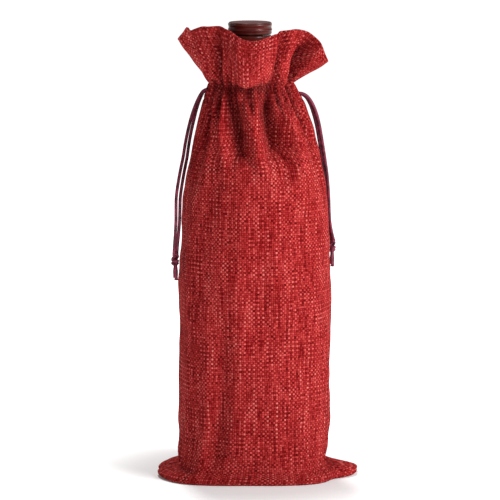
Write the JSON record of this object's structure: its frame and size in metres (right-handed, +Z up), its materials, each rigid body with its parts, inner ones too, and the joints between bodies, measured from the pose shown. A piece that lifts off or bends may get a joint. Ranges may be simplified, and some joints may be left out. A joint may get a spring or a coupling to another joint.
{
  "type": "wine gift bag",
  "caption": "Tall red linen-look cloth bag with a drawstring channel cinched below a frill, holding a standing wine bottle.",
  "frame": {"origin": "where the bottle's axis meets the surface that the bag stands on, at the middle of the bottom seam", "axes": "+Z up along the bottle, -Y towards the bag's front, +X to the viewer's right"},
  "size_m": [0.136, 0.087, 0.3078],
  "materials": {
    "cloth": "coarse plain weave, matte",
    "seam_cloth": "turned cloth edges, matte",
    "thread": "sewing thread",
    "cord": "satin round cord",
    "glass": "dark bottle glass",
    "wine": null,
    "cork": "natural cork",
    "capsule": "glossy shrink foil"
  },
  "bodies": {
    "bag": {"front_panel": "cloth", "back_panel": "cloth", "left_side_seam": "seam_cloth", "right_side_seam": "seam_cloth", "bottom_seam": "seam_cloth", "left_side_stitching": "thread", "right_side_stitching": "thread", "bottom_stitching": "thread", "front_channel": "cloth", "back_channel": "cloth", "lower_channel_stitching": "thread", "upper_channel_stitching": "thread", "front_frill": "cloth", "back_frill": "cloth", "left_drawstring_loop": "cord", "right_drawstring_loop": "cord"},
    "bottle": {"bottle_glass": "glass", "wine": "wine", "cork": "cork", "capsule_skirt": "capsule", "capsule_top": "capsule"},
    "left_strands": {"left_front_strand": "cord", "left_rear_strand": "cord"},
    "left_cord_end": {"left_knot": "cord", "left_tails": "cord"},
    "right_strands": {"right_front_strand": "cord", "right_rear_strand": "cord"},
    "right_cord_end": {"right_knot": "cord", "right_tails": "cord"}
  },
  "joints": [
    {"name": "bottle_lift", "type": "slide", "parent": "bag", "child": "bottle", "axis": [0, 0, 1], "range_m": [0, 0.01]},
    {"name": "left_cord_swing", "type": "hinge", "parent": "bag", "child": "left_strands", "pos_m": [-0.028, 0, 0.263], "axis": [0, 1, 0], "range_deg": [0, 75]},
    {"name": "left_cord_draw", "type": "slide", "parent": "left_strands", "child": "left_cord_end", "axis": [0, 0, 1], "range_m": [0, 0.07], "deforming": ["left_front_strand", "left_rear_strand"]},
    {"name": "right_cord_swing", "type": "hinge", "parent": "bag", "child": "right_strands", "pos_m": [0.031, 0, 0.26], "axis": [0, -1, 0], "range_deg": [0, 75]},
    {"name": "right_cord_draw", "type": "slide", "parent": "right_strands", "child": "right_cord_end", "axis": [0, 0, 1], "range_m": [0, 0.07], "deforming": ["right_front_strand", "right_rear_strand"]}
  ]
}
